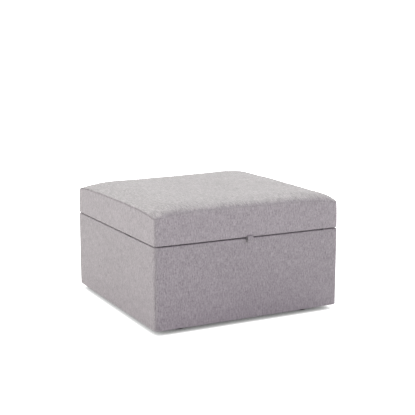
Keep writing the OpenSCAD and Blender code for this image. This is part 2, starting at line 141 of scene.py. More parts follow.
class Waves:
    """Smooth, slow, seeded unevenness over space."""

    def __init__(self, seed, shortest, longest, count=7):
        rng = np.random.default_rng(seed)
        directions = rng.normal(size=(count, 3))
        directions /= np.linalg.norm(directions, axis=1)[:, None]
        lengths = rng.uniform(shortest, longest, count)
        self.k = directions * (2 * math.pi / lengths)[:, None]
        self.phase = rng.uniform(0, 2 * math.pi, count)

    def __call__(self, points):
        return np.sin(points @ self.k.T + self.phase).sum(-1) / math.sqrt(len(self.phase))


def grid_normals(p):
    du = np.gradient(p, axis=0)
    dv = np.gradient(p, axis=1)
    n = np.cross(du, dv)
    return n / np.maximum(np.linalg.norm(n, axis=-1, keepdims=True), 1e-12)


def grid_faces(nu, nv):
    i, j = np.meshgrid(np.arange(nu - 1), np.arange(nv - 1), indexing="ij")
    a = (i * nv + j).ravel()
    return np.stack([a, a + nv, a + nv + 1, a + 1], -1)


CORNER_SEAM_R = 1.2 * MM  # of the rolled edges at the corner seams
LEAST_R = 0.4 * MM        # least corner radius that is left inside a fold


def side_panel(turn, half_out, half_along, profile):
    """A grid of points over one side, from corner seam to corner seam.

    turn counts quarter turns from the side that faces +X. profile is a list of
    (inset, height). Columns near a corner seam roll inward into it."""
    straight = half_along - CORNER_R
    quarter = CORNER_R * math.pi / 4
    w = spread(straight + quarter, fine=0.35 * MM, coarse=6.5 * MM, growth=1.22)
    w = np.concatenate([-w[::-1], w[1:]])
    w = np.concatenate([[w[0]], w, [w[-1]]])
    depth = rounding(straight + quarter - np.abs(w), CORNER_SEAM_R)
    depth[0] = depth[-1] = CORNER_SEAM_R + SEAM_ALLOWANCE
    inset = np.array([q[0] for q in profile])[None, :]
    z = np.array([q[1] for q in profile])[None, :] + 0 * w[:, None]
    r = np.maximum(CORNER_R - inset, LEAST_R)
    share = np.clip(np.abs(w) / straight, 0, 1)[:, None]
    phi = (np.clip(np.abs(w) - straight, 0, None) / CORNER_R)[:, None]
    out = half_out - inset - r + r * np.cos(phi)
    along = share * (half_along - inset - r) + r * np.sin(phi)
    out = out - depth[:, None] * np.cos(phi)
    along = (along - depth[:, None] * np.sin(phi)) * np.sign(w)[:, None]
    c, s = math.cos(turn * math.pi / 2), math.sin(turn * math.pi / 2)
    return np.stack([c * out - s * along, s * out + c * along, z], -1)


def side_half_sizes(turn, half_x, half_y):
    """Half sizes out of and along the side at that many quarter turns."""
    return (half_x, half_y) if turn % 2 == 0 else (half_y, half_x)


class RingGrid:
    """A square grid whose rings follow rounded squares, with more rings outside it."""

    def __init__(self, half_x, half_y, fine, coarse, growth):
        self.half_x, self.half_y = half_x, half_y
        g = spread(min(half_x, half_y), fine, coarse, growth)
        g = g / g[-1]
        self.g = np.concatenate([-g[::-1], g[1:]])
        self.u, self.v = np.meshgrid(self.g, self.g, indexing="ij")
        share = np.maximum(np.abs(self.u), np.abs(self.v))
        self.inset = (1 - share) * min(half_x, half_y)
        n = len(self.g) - 1
        rim = [(n, j) for j in range(n)] + [(n - j, n) for j in range(n)]
        rim += [(0, n - j) for j in range(n)] + [(j, 0) for j in range(n)]
        self.rim = np.array(rim)

    def xy(self, u, v, inset, r):
        """Places grid coordinates of -1 to 1 on a rounded square, inset from the edge."""
        share = np.maximum(np.maximum(np.abs(u), np.abs(v)), 1e-9)
        across = np.abs(u) >= np.abs(v)
        a = np.where(across, np.abs(v), np.abs(u)) / share
        out_half = np.where(across, self.half_x, self.half_y) - inset
        along_half = np.where(across, self.half_y, self.half_x) - inset
        r = np.minimum(r, 0.97 * np.minimum(out_half, along_half)) + 1e-9
        flat = along_half - r
        phi = np.clip(a * along_half - flat, 0, None) / r * (math.pi / 4)
        out = np.where(phi > 0, out_half - r + r * np.cos(phi), out_half)
        along = np.where(phi > 0, flat + r * np.sin(phi), a * along_half)
        x = np.where(across, out, along) * np.sign(u)
        y = np.where(across, along, out) * np.sign(v)
        return x, y

    def build(self, rings, height, radius):
        """rings is a list of (inset, height, corner radius) from the outside in. height
        and radius are functions of the inset, for the grid. Returns points and faces."""
        parts = []
        u, v = self.u[self.rim[:, 0], self.rim[:, 1]], self.v[self.rim[:, 0], self.rim[:, 1]]
        for inset, z, r in rings:
            x, y = self.xy(u, v, inset, r)
            parts.append(np.stack([x, y, np.full_like(x, z)], -1))
        x, y = self.xy(self.u, self.v, self.inset, radius(self.inset))
        grid = np.stack([x, y, height(self.inset)], -1)
        side = len(self.g)
        count = len(self.rim)
        base = count * len(rings)
        rim_ids = base + self.rim[:, 0] * side + self.rim[:, 1]
        faces = []
        for ring in range(len(rings)):
            here = np.arange(count) + ring * count
            above = here + count if ring + 1 < len(rings) else rim_ids
            faces.append(np.stack([here, np.roll(here, -1), np.roll(above, -1), above], -1))
        faces.append(grid_faces(side, side) + base)
        points = np.concatenate(parts + [grid.reshape(-1, 3)])
        return points, np.concatenate(faces)


def swelling(points, faces, hold, pressure, frames=20):
    """Cloth simulation: how far each point of a closed cover moves as its filling presses."""
    mesh = bpy.data.meshes.new("swelling")
    mesh.from_pydata([tuple(p) for p in points], [], [tuple(f) for f in faces])
    ob = bpy.data.objects.new("swelling", mesh)
    scene.collection.objects.link(ob)
    group = ob.vertex_groups.new(name="hold")
    for i, weight in enumerate(hold):
        if weight > 0:
            group.add([i], float(weight), "REPLACE")
    settings = ob.modifiers.new("Cloth", "CLOTH").settings
    settings.quality = 6
    settings.mass = 0.3
    settings.tension_stiffness = 18
    settings.compression_stiffness = 18
    settings.shear_stiffness = 8
    settings.bending_stiffness = 1.5
    settings.use_pressure = True
    settings.uniform_pressure_force = pressure
    settings.vertex_group_mass = "hold"
    settings.effector_weights.gravity = 0
    for step in range(1, frames + 1):
        scene.frame_set(step)
    done = ob.evaluated_get(bpy.context.evaluated_depsgraph_get()).to_mesh()
    co = np.zeros(len(done.vertices) * 3)
    done.vertices.foreach_get("co", co)
    moved = co.reshape(-1, 3) - points
    bpy.data.objects.remove(ob)
    bpy.data.meshes.remove(mesh)
    scene.frame_set(1)
    return moved


def capped(moves, most):
    size = np.maximum(np.linalg.norm(moves, axis=-1, keepdims=True), 1e-12)
    return moves * (most * np.tanh(size / most) / size)


class Carry:
    """Carries the moves of a coarse set of points over to any others, smoothly."""

    def __init__(self, points, moves, reach):
        self.tree = KDTree(len(points))
        for i, p in enumerate(points):
            self.tree.insert(p, i)
        self.tree.balance()
        self.moves, self.reach = moves, reach

    def __call__(self, points):
        out = np.zeros_like(points)
        for i, p in enumerate(points.reshape(-1, 3)):
            found = self.tree.find_n(p, 10)
            weight = np.array([math.exp(-(f[2] / self.reach) ** 2) for f in found]) + 1e-9
            ids = [f[1] for f in found]
            out.reshape(-1, 3)[i] = weight @ self.moves[ids] / weight.sum()
        return out


# ---- Materials ----

class Look:
    """A material built from nodes."""

    def __init__(self, name):
        self.material = bpy.data.materials.new(name)
        self.material.use_nodes = True
        self.tree = self.material.node_tree
        self.shader = self.tree.nodes["Principled BSDF"]
        self.coords = self.add("ShaderNodeTexCoord")

    def put(self, socket, value):
        if isinstance(value, bpy.types.NodeSocket):
            self.tree.links.new(value, socket)
        elif value is not None:
            socket.default_value = value

    def add(self, kind, values=(), named=None, **settings):
        node = self.tree.nodes.new(kind)
        for key, value in settings.items():
            setattr(node, key, value)
        for i, value in enumerate(values):
            self.put(node.inputs[i], value)
        for key, value in (named or {}).items():
            self.put(node.inputs[key], value)
        return node

    def math(self, operation, *values):
        return self.add("ShaderNodeMath", values, operation=operation).outputs[0]

    def vector(self, operation, *values):
        return self.add("ShaderNodeVectorMath", values, operation=operation).outputs[0]

    def split(self, vector):
        return self.add("ShaderNodeSeparateXYZ", [vector]).outputs

    def join(self, x, y, z=0.0):
        return self.add("ShaderNodeCombineXYZ", [x, y, z]).outputs[0]

    def choose(self, which, first, second):
        """first where which is 0, second where it is 1."""
        node = self.add("ShaderNodeMix", data_type="FLOAT")
        for socket, value in zip(node.inputs[0:1] + node.inputs[2:4], (which, first, second)):
            self.put(socket, value)
        return node.outputs[0]

    def noise(self, vector, stretch, detail=2.0, rough=0.5, distort=0.0):
        """stretch is how many cells there are in a metre, along each axis."""
        scaled = self.vector("MULTIPLY", vector, stretch)
        named = {"Vector": scaled, "Scale": 1.0, "Detail": detail, "Roughness": rough,
                 "Distortion": distort}
        return self.add("ShaderNodeTexNoise", named=named).outputs["Fac"]

    def ramp(self, value, stops):
        node = self.add("ShaderNodeValToRGB", [value])
        elements = node.color_ramp.elements
        while len(elements) < len(stops):
            elements.new(0.5)
        for element, (position, colour) in zip(elements, stops):
            element.position = position
            element.color = (*colour, 1)
        return node.outputs[0]

    def total(self, *weighted):
        """Sum of (socket, weight) pairs, each socket centred on 0.5, around 0.5."""
        result = None
        for socket, weight in weighted:
            centred = self.math("MULTIPLY_ADD", socket, weight, -0.5 * weight)
            result = centred if result is None else self.math("ADD", result, centred)
        return self.math("ADD", result, 0.5)

    def bump(self, height, depth, strength):
        named = {"Height": height, "Distance": depth, "Strength": strength}
        return self.add("ShaderNodeBump", named=named).outputs[0]

    def finish(self, colour, rough, normal=None, **constants):
        self.put(self.shader.inputs["Base Color"], colour)
        self.put(self.shader.inputs["Roughness"], rough)
        if normal is not None:
            self.put(self.shader.inputs["Normal"], normal)
        for key, value in constants.items():
            self.shader.inputs[key.replace("_", " ")].default_value = value
        return self.material

    def face_plane(self):
        """Metres across and along whichever of the six faces a point lies on, and the vector
        of both with a number for the face."""
        x, y, z = self.split(self.coords.outputs["Object"])
        nx, ny, nz = self.split(self.vector("ABSOLUTE", self.coords.outputs["Normal"]))
        side = self.math("GREATER_THAN", nx, self.math("MAXIMUM", ny, nz))
        top = self.math("GREATER_THAN", nz, self.math("MAXIMUM", nx, ny))
        across = self.choose(side, x, y)
        along = self.choose(top, z, y)
        which = self.math("MULTIPLY_ADD", side, 3.1, self.math("MULTIPLY", top, 7.3))
        return across, along, self.join(across, along, which)

    def wave(self, value, pitch):
        """-1 to 1 and back over each pitch."""
        return self.math("SINE", self.math("MULTIPLY", value, 2 * math.pi / pitch))

    def half_wave(self, wave):
        """Moves a wave of -1 to 1 to 0 to 1."""
        return self.math("MULTIPLY_ADD", wave, 0.5, 0.5)

    def shade(self, tone, colour, dark, light):
        """colour where tone is 0.5, and dark or light times that at its ends."""
        stops = [(0.0, tint(colour, dark)), (0.5, colour), (1.0, tint(colour, light))]
        return self.ramp(tone, stops)


def tint(colour, factor):
    return tuple(min(1.0, c * factor) for c in colour)


CORD_PITCH, PICK_PITCH = 2.1 * MM, 1.3 * MM


def chenille(name, colour):
    """Soft upright cords, with a fine grain, short streaks and a faint mottle."""
    look = Look(name)
    across, along, plane = look.face_plane()
    grain = look.noise(plane, (270, 150, 1), 2.0, 0.6)
    streak = look.noise(plane, (330, 50, 1), 2.0, 0.6, 0.3)
    fibre = look.noise(plane, (1100, 420, 1), 2.0, 0.6)
    mottle = look.noise(plane, (30, 22, 1), 3.0, 0.55)
    drift = look.noise(plane, (5, 4, 1), 2.0, 0.5)
    wander = look.math("MULTIPLY", look.noise(plane, (60, 12, 1)), 0.0012)
    cord = look.half_wave(look.wave(look.math("ADD", across, wander), CORD_PITCH))
    pick = look.half_wave(look.wave(along, PICK_PITCH))
    tone = look.total((grain, 1.15), (streak, 1.25), (fibre, 0.5), (mottle, 0.2), (drift, 0.12),
                      (cord, 0.15), (pick, 0.05))
    shade = look.shade(tone, colour, 0.55, 1.45)
    height = look.total((cord, 0.5), (pick, 0.22), (fibre, 0.5), (grain, 0.5))
    rough = look.math("MULTIPLY_ADD", fibre, 0.12, 0.80)
    return look.finish(shade, rough, look.bump(height, 0.55 * MM, 0.6), Sheen_Weight=0.25,
                       Sheen_Roughness=0.45, Specular_IOR_Level=0.2)


def plain_weave(name, colour, pitch):
    """Crossing threads with uneven places along both of their ways."""
    look = Look(name)
    across, along, plane = look.face_plane()
    cross = look.half_wave(look.math("MULTIPLY", look.wave(across, pitch), look.wave(along, pitch)))
    slub = look.noise(plane, (90, 14, 1), 3.0, 0.6)
    slub_across = look.noise(plane, (14, 90, 1), 3.0, 0.6)
    cloud = look.noise(plane, (9, 9, 1), 3.0)
    tone = look.total((cross, 0.25), (slub, 0.45), (slub_across, 0.45), (cloud, 0.4))
    shade = look.shade(tone, colour, 0.6, 1.5)
    height = look.total((cross, 0.8), (slub, 0.4))
    rough = look.math("MULTIPLY_ADD", cloud, 0.15, 0.7)
    return look.finish(shade, rough, look.bump(height, 0.3 * MM, 0.5),
                       Specular_IOR_Level=0.3)


def non_woven(name, colour, pitch):
    """Thin spun cloth with an embossed dot pattern."""
    look = Look(name)
    across, along, plane = look.face_plane()
    dot = look.half_wave(look.math("MULTIPLY", look.wave(across, pitch), look.wave(along, pitch)))
    fibre = look.noise(plane, (420, 420, 1), 4.0, 0.7, 1.2)
    cloud = look.noise(plane, (14, 14, 1), 4.0, 0.6)
    tone = look.total((fibre, 0.7), (cloud, 0.5), (dot, 0.15))
    shade = look.shade(tone, colour, 0.5, 2.0)
    height = look.total((dot, 0.6), (fibre, 0.5))
    return look.finish(shade, look.math("MULTIPLY_ADD", cloud, 0.2, 0.65),
                       look.bump(height, 0.2 * MM, 0.5), Specular_IOR_Level=0.3)


def wood(name, colour, ring):
    """Plain-sawn grain along X. ring is how thick the growth rings are, over two pi."""
    look = Look(name)
    point = look.coords.outputs["Object"]
    z = look.split(point)[2]
    bend = look.noise(point, (3, 9, 9), 3.0, 0.5)
    rings = look.math("MULTIPLY", z, 1 / ring)
    grain_at = look.math("ADD", rings, look.math("MULTIPLY", bend, 9.0))
    grain = look.half_wave(look.math("SINE", grain_at))
    pores = look.noise(point, (35, 700, 700), 3.0, 0.6)
    cloud = look.noise(point, (6, 14, 14), 3.0)
    tone = look.total((grain, 0.45), (pores, 0.6), (cloud, 0.5))
    shade = look.shade(tone, colour, 0.6, 1.25)
    return look.finish(shade, look.math("MULTIPLY_ADD", pores, 0.2, 0.5),
                       look.bump(look.total((pores, 0.6), (grain, 0.2)), 0.15 * MM, 0.4))


def metal(name, colour, rough, streak, flaw):
    """Plated or polished steel. streak stretches the polishing marks."""
    look = Look(name)
    point = look.coords.outputs["Object"]
    marks = look.noise(point, streak, 3.0, 0.65)
    cloud = look.noise(point, (60, 60, 60), 3.0, 0.6)
    tone = look.total((marks, 0.35), (cloud, flaw))
    shade = look.shade(tone, colour, 0.7, 1.15)
    gloss = look.math("ADD", look.math("MULTIPLY_ADD", marks, 0.12, rough - 0.06),
                      look.math("MULTIPLY", cloud, 0.08))
    return look.finish(shade, gloss, look.bump(marks, 0.03 * MM, 0.3), Metallic=1.0)


def moulded(name, colour, rough, grain, depth, coat=0.0):
    """Plastic, rubber or paint with a fine grain and a few rubbed places."""
    look = Look(name)
    point = look.coords.outputs["Object"]
    fine = look.noise(point, (grain, grain, grain), 3.0, 0.6)
    rubbed = look.noise(point, (45, 45, 45), 4.0, 0.6)
    tone = look.total((fine, 0.4), (rubbed, 0.8))
    shade = look.shade(tone, colour, 0.6, 1.9)
    gloss = look.math("MULTIPLY_ADD", rubbed, 0.2, rough - 0.1)
    return look.finish(shade, gloss, look.bump(fine, depth, 0.5), Coat_Weight=coat,
                       Coat_Roughness=0.2)


CLOTH = (0.361, 0.342, 0.352)
LID_PAINTED_LIGHT = 1.07          # painted light: the lid's copy of the same cloth is made this much lighter, for the brighter light on the lid
upholstery = chenille("grey_chenille", CLOTH)
# The lid gets a lighter copy of the same cloth, which is painted light rather than a different dye.
lid_upholstery_painted_light = chenille("grey_chenille_lid_painted_light", tint(CLOTH, LID_PAINTED_LIGHT))
lining_cloth = plain_weave("lining_weave", (0.075, 0.070, 0.075), 1.4 * MM)
black_cloth = non_woven("black_non_woven", (0.018, 0.018, 0.020), 2.4 * MM)
thread = moulded("grey_thread", (0.33, 0.30, 0.32), 0.6, 900, 0.05 * MM)
LOOKS = {
    "upholstery": upholstery,
    "plywood": wood("plywood", (0.56, 0.39, 0.22), 2.2 * MM),
    "pine": wood("pine", (0.62, 0.43, 0.22), 5.0 * MM),
    "black_cloth": black_cloth,
    "storage_lining": lining_cloth,
    "black_plastic": moulded("black_plastic", (0.020, 0.020, 0.021), 0.55, 900, 0.08 * MM),
    "zinc_plated_steel": metal("zinc_plate", (0.40, 0.41, 0.43), 0.42, (300, 300, 40), 0.5),
    "bright_steel": metal("bright_steel", (0.58, 0.59, 0.61), 0.24, (60, 500, 500), 0.2),
    "black_painted_steel": moulded("black_paint", (0.018, 0.018, 0.019), 0.38, 500, 0.04 * MM, 0.4),
    "rubber": moulded("rubber", (0.030, 0.030, 0.030), 0.75, 700, 0.1 * MM),
}
SLOT_OF = {s["node"]: s["material_slot"] for s in frame["record"]["subparts"]}


def dress_cad_nodes():
    for name, ob in nodes.items():
        look = LOOKS.get(SLOT_OF[name])
        if look is None:
            continue
        if not ob.material_slots:
            ob.data.materials.append(look)
        for slot in ob.material_slots:
            slot.material = look


dress_cad_nodes()


# ---- Camera ----

CAMERA_TURN = math.radians(27.43)
CAMERA_TILT = math.radians(10.33)
CAMERA_DISTANCE = 3.4529
CAMERA_SIDE, CAMERA_RISE = 0.0172, 0.3141   # across and up from the line to the base's middle
LENS_MM, SENSOR_MM = 81.20, 36


def place_camera():
    ahead = Vector((math.sin(CAMERA_TURN) * math.cos(CAMERA_TILT),
                    math.cos(CAMERA_TURN) * math.cos(CAMERA_TILT), -math.sin(CAMERA_TILT)))
    right = Vector((math.cos(CAMERA_TURN), -math.sin(CAMERA_TURN), 0))
    up = right.cross(ahead)
    place = CAMERA_SIDE * right + CAMERA_RISE * up - CAMERA_DISTANCE * ahead
    place.z += float(BASE_Z)
    data = bpy.data.cameras.new("camera")
    data.lens = LENS_MM
    data.sensor_width = SENSOR_MM
    camera = bpy.data.objects.new("camera", data)
    camera.location = place
    camera.rotation_euler = ahead.to_track_quat("-Z", "Y").to_euler()
    scene.collection.objects.link(camera)
    scene.camera = camera


place_camera()


# ---- Base upholstery ----

SIDES = {0: "right", 1: "back", 2: "left", 3: "front"}   # by quarter turns
PANEL_FULL, PANEL_UNEVEN = 0.9 * MM, 0.45 * MM
taut = Waves(11, 0.09, 0.30)


def base_profile():
    """From under the base, up the outside, over the rim and down inside it."""
    hem = 1.5 * MM
    rim = RIM_Z + GAP_CLOSE
    points = line((RIM_W, BASE_Z), (EDGE_R, BASE_Z), 4 * MM)
    points += arc(EDGE_R, BASE_Z + EDGE_R, EDGE_R, 270, 180, FOLD_STEPS)[:-1]
    points += line((0, BASE_Z + EDGE_R), (0, rim - EDGE_R), 7 * MM)
    points += arc(EDGE_R, rim - EDGE_R, EDGE_R, 180, 90, FOLD_STEPS)[:-1]
    points += line((EDGE_R, rim), (RIM_W - hem, rim), 4 * MM)
    points += arc(RIM_W - hem, rim - hem, hem, 90, 0, 3)[:-1]
    points += line((RIM_W, rim - hem), (RIM_W, RIM_Z - SKIRT_H), 6 * MM)
    return points + [(RIM_W, RIM_Z - SKIRT_H)]


def base_panel(turn):
    """Points of one side, slightly full and uneven in the middle."""
    half_out, half_along = side_half_sizes(turn, BASE_X, BASE_Y)
    profile = base_profile()
    p = side_panel(turn, half_out, half_along, profile)
    n = grid_normals(p)
    z = p[..., 2]
    inset = np.array([q[0] for q in profile])[None, :]
    height = np.clip((z - BASE_Z) / (RIM_Z - BASE_Z), 0, 1)
    face = np.where(inset < EDGE_R, 1.0, 0.0)
    along = np.linspace(-1, 1, p.shape[0])[:, None]
    pillow = (1 - along ** 6) * (4 * height * (1 - height)) ** 0.6
    out = face * (PANEL_FULL * pillow + PANEL_UNEVEN * pillow * taut(p))
    return p + n * out[..., None]


def base_upholstery():
    for turn, side in SIDES.items():
        p = base_panel(turn)
        ob = make("base_cover_%s_cloth" % side, p.reshape(-1, 3), grid_faces(*p.shape[:2]),
                  upholstery, CLOTH_T)
        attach(ob, "base")
        hides = ["base_cover_%s" % side] + (["base_wadding"] if side == "front" else [])
        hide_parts(*hides)


base_upholstery()


# ---- Lid upholstery ----

SEAM_R = 2.4 * MM        # half height of the rolled edges at the top seam
SEAM_APART = 0.1 * MM    # half of what parts the two panels inside it
SEAM_WANDER = 0.7 * MM   # how far that seam wanders up and down
CREASE = 1.4 * MM        # how near to it the changes to its depth reach
CORNER_DIP = 15 * MM     # how far the top seam is drawn down at the corners
CORNER_SPREAD = 5.7      # how soon that dies away from them
LEAN = 1.6 * MM          # how far the band leans in towards the seam
LEFT_PINCH = 3.2 * MM    # how much deeper the seam lies on the left
UNEVEN = 3.4 * MM        # how much fuller the top is at the back right corner
EDGE_FILL = 2.8 * MM     # how much fuller it is away from its corners
RIGHT_FILL = 11 * MM     # how much fuller it is along the right edge
BACK_SINK = 2.0 * MM     # how much lower it is at the back edge
LEFT_SINK = 4.0 * MM     # how much more it is rounded off along the left
LEFT_REACH = 45 * MM     # and how far in that reaches
FRONT_ROLL = 5.0 * MM    # how much fuller its edge is rolled along the front
FRONT_REACH = 25 * MM    # and how far in that is most
FRONT_EASE = 2.2 * MM    # how much shallower the seam lies in front
FRONT_BULGE = 3.0 * MM   # how far the cloth on both sides of it stands out
BULGE_UP, BULGE_DOWN = 7 * MM, 16 * MM   # and how far up and down that reaches
SWELL_TOP = 4.0 * MM     # most that the filling lifts the top
SWELL_BAND = 2.2 * MM    # most that it pushes out the band
PRESSURE = 4.0           # of the filling in the simulation
CORNER_HOLD = 0.8        # how firmly its corners are held
CARRY_REACH = 12 * MM
CROWN_POWER = 11         # how soon the crown levels off
CROWN_TURN = 0.62        # how steeply it rises from the seam
RING_ROUND = 110 * MM    # most that its height lines round off their corners
TOP_UNEVEN, BAND_UNEVEN = 0.9 * MM, 0.5 * MM
loose = Waves(5, 0.10, 0.34)
stitch_line = Waves(23, 0.07, 0.22)


def crown(inset, half, height):
    """Height of the top above the seam at an inset from the edge."""
    share = np.clip(inset / half, 0, 1)
    return height * (1 - (1 - share) ** CROWN_POWER) ** CROWN_TURN


def ring_radius(inset):
    return CORNER_R + np.minimum(4 * inset, RING_ROUND)


def off_corners(share):
    """1 along most of an edge, and 0 where it meets the next one."""
    return np.clip(12 - 12 * np.abs(share), 0, 1)


def settle(p):
    """Draws the top seam in, and well down towards the corners, and lets it wander a
    little. The filling is fuller along the right edge and lower along the left. The front
    edge is rolled broadly, with hardly a crease at the seam, which is deeper on the left."""
    across, along = p[..., 0] / LID_X, p[..., 1] / LID_Y
    share = np.clip((p[..., 2] - LID_Z) / (SEAM_Z - LID_Z), 0, 1)
    rise = p[..., 2] - SEAM_Z
    corner = np.abs(across * along) ** CORNER_SPREAD
    edge = np.maximum(np.abs(across), np.abs(along)) ** 30
    wander = SEAM_WANDER * edge * stitch_line(p * np.array([1, 1, 0]))
    above = np.clip(rise / (0.6 * CROWN_H), 0, 1)
    fuller = UNEVEN * (across * (along + 1) / 2 - 0.15)
    fuller += EDGE_FILL * (1 - (across * along) ** 2)
    fuller += RIGHT_FILL * np.clip(across, 0, 1) * (1 - along ** 2) * (1 + along) / 2
    fuller -= BACK_SINK * np.clip(along, 0, 1) ** 2
    fuller -= LEFT_SINK * np.exp(-(across + 1) * LID_X / LEFT_REACH)
    moved = p.copy()
    moved[..., :2] *= (1 - LEAN / LID_X * share ** 1.5)[..., None]
    moved[..., 2] += share ** 2 * (wander - CORNER_DIP * corner)
    moved[..., 2] += above * fuller
    inward = (along + 1) * LID_Y / FRONT_REACH
    over_roll = np.clip((rise - SEAM_R) / MM, 0, 1) * (1 - across ** 20)
    moved[..., 2] += FRONT_ROLL * over_roll * inward * np.exp(1 - inward)
    crease = np.exp(-(rise / CREASE) ** 2)
    moved[..., 0] += LEFT_PINCH * crease * (across < -0.97) * off_corners(along)
    bulge = np.exp(-(rise / np.where(rise > 0, BULGE_UP, BULGE_DOWN)) ** 2)
    front = (along < -0.9) * off_corners(across)
    moved[..., 1] -= (FRONT_EASE * crease + FRONT_BULGE * bulge) * front
    return moved


def lid_swelling():
    """Simulates the closed cover of the lid and returns what carries its moves over."""
    grid = RingGrid(LID_X, LID_Y, 7 * MM, 13 * MM, 1.15)
    heights = np.linspace(LID_Z + EDGE_R, SEAM_Z, 8)
    rings = [(EDGE_R, LID_Z, CORNER_R)] + [(0, z, CORNER_R) for z in heights[:-1]]
    rise = CROWN_H - SWELL_TOP
    points, faces = grid.build(rings, lambda d: SEAM_Z + crown(d, LID_X, rise), ring_radius)
    count = len(grid.rim)
    faces = [tuple(f) for f in faces] + [tuple(range(count))[::-1]]
    hold = np.zeros(len(points))
    hold[:2 * count] = 1.0
    base = count * len(rings)
    seam = base + grid.rim[:, 0] * len(grid.g) + grid.rim[:, 1]
    hold[seam] = 1.0
    near = 0.9 * CORNER_R
    corner = (np.abs(points[:, 0]) > LID_X - near) & (np.abs(points[:, 1]) > LID_Y - near)
    hold[corner] = np.maximum(hold[corner], CORNER_HOLD)
    moves = swelling(points, faces, hold, PRESSURE)
    top = points[:, 2] >= SEAM_Z
    moves = np.where(top[:, None], capped(moves, SWELL_TOP), capped(moves, SWELL_BAND))
    return Carry(points, moves, CARRY_REACH)


lid_moves = lid_swelling()


def lid_top():
    grid = RingGrid(LID_X, LID_Y, 0.8 * MM, 7 * MM, 1.18)
    low = SEAM_Z + SEAM_R
    rings = [(SEAM_R + SEAM_ALLOWANCE, SEAM_Z + SEAM_APART, CORNER_R)]
    roll = arc(SEAM_R, low, SEAM_R, 270, 180, FOLD_STEPS)[:-1]
    rings += [(inset, z, CORNER_R) for inset, z in roll]
    rise = CROWN_H - SEAM_R - SWELL_TOP
    p, faces = grid.build(rings, lambda d: low + crown(d, LID_X, rise), ring_radius)
    p = p + lid_moves(p)
    inner = 1 - np.maximum(np.abs(p[:, 0]) / LID_X, np.abs(p[:, 1]) / LID_Y) ** 8
    p[:, 2] += TOP_UNEVEN * inner * loose(p)
    ob = make("lid_top_cloth", settle(p), faces, lid_upholstery_painted_light, CLOTH_T)
    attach(ob, "lid")
    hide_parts("lid_top_cover", "lid_wadding", "lid_foam")


def band_profile():
    """From under the lid's edge up the outside and into the top seam."""
    low = LID_Z - GAP_CLOSE
    points = line((FLAP_W, low), (EDGE_R, low), 4 * MM)
    points += arc(EDGE_R, low + EDGE_R, EDGE_R, 270, 180, FOLD_STEPS)[:-1]
    points += line((0, low + EDGE_R), (0, SEAM_Z - SEAM_R), 5 * MM)
    points += arc(SEAM_R, SEAM_Z - SEAM_R, SEAM_R, 180, 90, FOLD_STEPS)
    return points + [(SEAM_R + SEAM_ALLOWANCE, SEAM_Z - SEAM_APART)]


def lid_bands():
    profile = band_profile()
    inset = np.array([q[0] for q in profile])[None, :]
    for turn, side in SIDES.items():
        half_out, half_along = side_half_sizes(turn, LID_X, LID_Y)
        p = side_panel(turn, half_out, half_along, profile)
        n = grid_normals(p)
        height = np.clip((p[..., 2] - LID_Z) / (SEAM_Z - LID_Z), 0, 1)
        along = np.linspace(-1, 1, p.shape[0])[:, None]
        face = np.where(inset < EDGE_R, 1.0, 0.0) * (4 * height * (1 - height)) ** 0.5
        p = p + lid_moves(p) * face[..., None]
        p = p + n * (BAND_UNEVEN * face * (1 - along ** 8) * loose(p))[..., None]
        ob = make("lid_band_%s_cloth" % side, settle(p).reshape(-1, 3),
                  grid_faces(*p.shape[:2]), lid_upholstery_painted_light, CLOTH_T)
        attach(ob, "lid")
        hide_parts("lid_band_%s" % side)


lid_top()
lid_bands()


# ---- Pull tab ----

TAB_LEFT, TAB_RIGHT = (float(corner[0]) for corner in edges("pull_tab"))
TAB_W, TAB_X = TAB_RIGHT - TAB_LEFT, (TAB_RIGHT + TAB_LEFT) / 2
TAB_T = 2.0 * MM
TAB_SWAY = 0.35 * MM
THINNEST = 0.86          # of the ribbon's thickness, in its middle
# Path of the ribbon as (distance out from the lid's front face, height above the gap), in mm
TAB_PATH = [(-23, 1.2), (-8, 1.2), (-1.5, 1.6), (3.0, 5.2), (7.2, 5.6), (9.2, 1.5), (9.4, -4.5),
            (8.4, -10.5), (5.8, -13.6), (3.2, -12.6), (2.3, -8.5), (1.9, -4.5), (-0.8, -1.4),
            (-3.5, -1.0), (-8, -0.9), (-23, -0.9)]


def smooth_path(points, per_span):
    """Catmull-Rom curve through points."""
    first, last = 2 * np.array(points[0]) - points[1], 2 * np.array(points[-1]) - points[-2]
    q = np.array([first, *points, last])
    out = []
    for i in range(1, len(q) - 2):
        for t in np.linspace(0, 1, per_span, endpoint=False):
            a, b, c, d = q[i - 1], q[i], q[i + 1], q[i + 2]
            out.append(0.5 * (2 * b + (c - a) * t + (2 * a - 5 * b + 4 * c - d) * t ** 2
                              + (3 * b - a - 3 * c + d) * t ** 3))
    out.append(q[-2])
    return np.array(out)


def tab_frame():
    """Points of the ribbon's path, with the way out of its face at each."""
    path = smooth_path(TAB_PATH, 6) * MM
    along = np.gradient(path, axis=0)
    along /= np.linalg.norm(along, axis=1)[:, None]
    outward = np.stack([-along[:, 1], along[:, 0]], -1)
    return path, outward


def pull_tab():
    """The ribbon, with rounded edges, swept along its path."""
    path, outward = tab_frame()
    half = TAB_W / 2
    r = TAB_T / 2
    section = []
    for side in (1, -1):
        section += arc(side * (half - r), 0, r, -90 * side, 180 - 90 * side, 8)
        for share in np.linspace(0.85, -0.85, 14) * side:
            thin = THINNEST + (1 - THINNEST) * abs(share) ** 4
            section.append(((half - r) * share, side * r * thin))
    verts = []
    for centre, out in zip(path, outward):
        for x, lift in section:
            sway = TAB_SWAY * math.sin(centre[1] / (9 * MM) + 40 * x)
            f, z = centre + out * (lift + sway * 0.4)
            verts.append((TAB_X + x + sway, -LID_Y - f, GAP_Z + z))
    n = len(section)
    faces = []
    for k in range(len(path) - 1):
        for i in range(n):
            a, b = k * n + i, k * n + (i + 1) % n
            faces.append((a, a + n, b + n, b))
    faces.append(tuple(range(n)))
    faces.append(tuple(range((len(path) - 1) * n, len(path) * n))[::-1])
    ob = make("pull_tab_cloth", verts, faces, upholstery)
    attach(ob, "lid")
    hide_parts("pull_tab")


